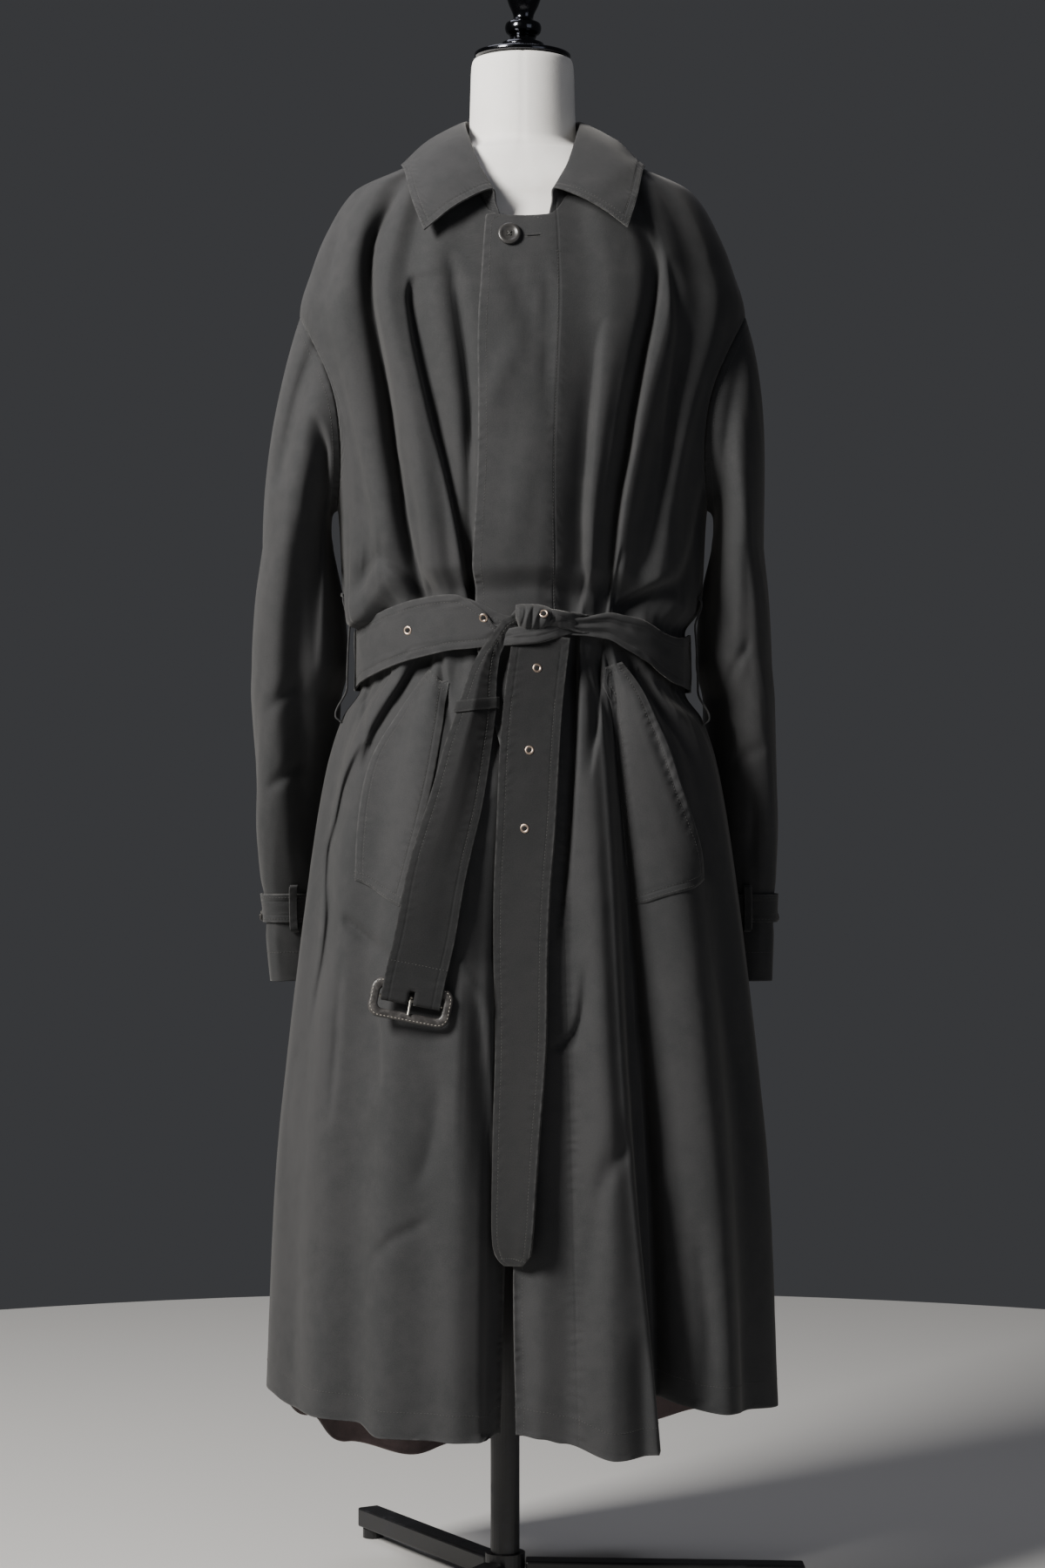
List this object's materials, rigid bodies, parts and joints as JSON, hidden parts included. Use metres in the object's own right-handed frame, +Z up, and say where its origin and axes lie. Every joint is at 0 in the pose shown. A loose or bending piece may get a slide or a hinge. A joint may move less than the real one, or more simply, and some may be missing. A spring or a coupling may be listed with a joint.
{
  "type": "trench coat on dress form stand",
  "caption": "Long belted single-breasted coat with turned-down collar, buttoned and tied on a limbless dress form with a pole and legged base.",
  "frame": {"origin": "on the floor, below the middle of the bounding box", "axes": "+Z up, the coat faces -Y, the wearer's left is at +X"},
  "size_m": [0.5406, 0.5162, 1.6148],
  "materials": {
    "coat_cloth": "brushed cotton twill, matt, soft nap",
    "buckle_leather": "satin, stitched edge",
    "button_horn": "semi-gloss, mottled",
    "nickel": "worn nickel",
    "eyelet_metal": "pale pressed metal",
    "form_cover": "smooth off-white cover",
    "gunmetal": "polished dark metal",
    "black_steel": "satin black"
  },
  "bodies": {
    "coat_and_form": {"back": "coat_cloth", "belt_band": "coat_cloth", "belt_keeper": "coat_cloth", "belt_knot": "coat_cloth", "belt_knot_strand": "coat_cloth", "belt_loop_left": "coat_cloth", "belt_loop_right": "coat_cloth", "belt_tail_buckle": "coat_cloth", "belt_tail_tip": "coat_cloth", "buckle_bar": "nickel", "buckle_frame": "buckle_leather", "button": "button_horn", "collar": "coat_cloth", "cuff_buckle_left": "buckle_leather", "cuff_buckle_right": "buckle_leather", "cuff_strap_left": "coat_cloth", "cuff_strap_right": "coat_cloth", "eyelet_band_inner": "eyelet_metal", "eyelet_band_outer": "eyelet_metal", "eyelet_knot": "eyelet_metal", "eyelet_tail_lower": "eyelet_metal", "eyelet_tail_middle": "eyelet_metal", "eyelet_tail_upper": "eyelet_metal", "finial": "gunmetal", "foot_back": "black_steel", "foot_front": "black_steel", "foot_side": "black_steel", "form_torso": "form_cover", "front_left": "coat_cloth", "front_right": "coat_cloth", "hub": "black_steel", "leg_back": "black_steel", "leg_front": "black_steel", "leg_side": "black_steel", "neck_cap": "gunmetal", "pocket_welt_left": "coat_cloth", "pocket_welt_right": "coat_cloth", "pole": "black_steel", "sleeve_left": "coat_cloth", "sleeve_right": "coat_cloth", "strap_loop_left": "coat_cloth", "strap_loop_right": "coat_cloth"},
    "prong": {"prong": "nickel"}
  },
  "joints": [
    {"name": "prong_swing", "type": "hinge", "parent": "coat_and_form", "child": "prong", "pos_m": [-0.10784, -0.17198, 0.5897], "axis": [-0.9818, 0.0182, 0.1891], "range_deg": [0, 115]}
  ]
}
